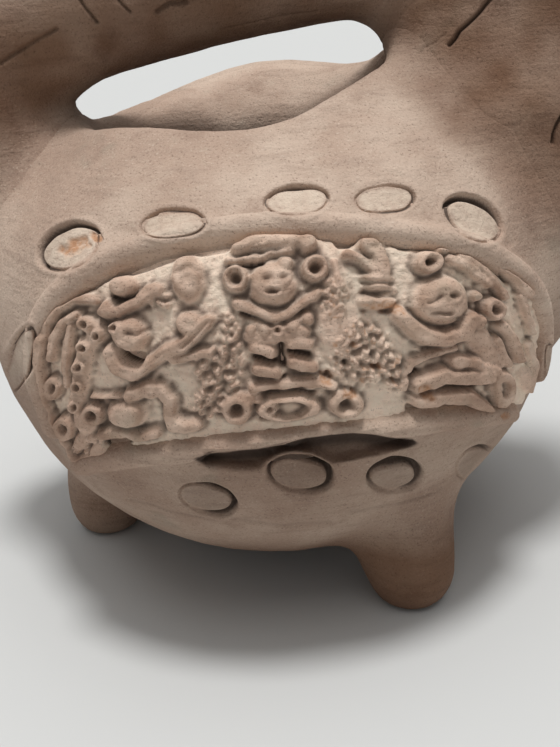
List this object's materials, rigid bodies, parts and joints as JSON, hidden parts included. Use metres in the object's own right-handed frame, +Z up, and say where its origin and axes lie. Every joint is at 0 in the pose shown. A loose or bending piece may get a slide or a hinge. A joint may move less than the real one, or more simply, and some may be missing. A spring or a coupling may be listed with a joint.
{
  "type": "clay spouted vessel",
  "caption": "Unglazed clay pouring vessel on stub feet, with a spout, a tube handle over the open mouth and moulded relief slabs.",
  "frame": {"origin": "on the floor, under the middle of the vessel's box", "axes": "+Z up, the front with its relief slab towards -Y, the spout towards +X"},
  "size_m": [0.1212, 0.1004, 0.1151],
  "materials": {
    "bowl_clay": "unglazed fired clay, matt, fine sandy grain",
    "shoulder_clay": "unglazed fired clay, matt, fine sandy grain",
    "rim_coil_clay": "unglazed fired clay, matt, fine sandy grain",
    "handle_clay": "unglazed fired clay, matt, fine sandy grain",
    "handle_root_clay": "unglazed fired clay, matt, fine sandy grain",
    "spout_clay": "unglazed fired clay, matt, fine sandy grain",
    "relief_clay": "unglazed fired clay, matt, fine sandy grain",
    "roll_clay": "unglazed fired clay, matt, fine sandy grain",
    "foot_clay": "unglazed fired clay, matt, fine sandy grain"
  },
  "bodies": {
    "root": {"lower_bowl": "bowl_clay", "upper_shell": "shoulder_clay", "back_rim_coil": "rim_coil_clay", "handle": "handle_clay", "handle_root": "handle_root_clay", "spout": "spout_clay", "front_relief_slab": "relief_clay", "front_upper_roll": "roll_clay", "front_lower_roll": "roll_clay", "back_relief_slab": "relief_clay", "back_upper_roll": "roll_clay", "back_lower_roll": "roll_clay", "front_right_foot": "foot_clay", "back_right_foot": "foot_clay", "left_foot": "foot_clay"}
  },
  "joints": []
}
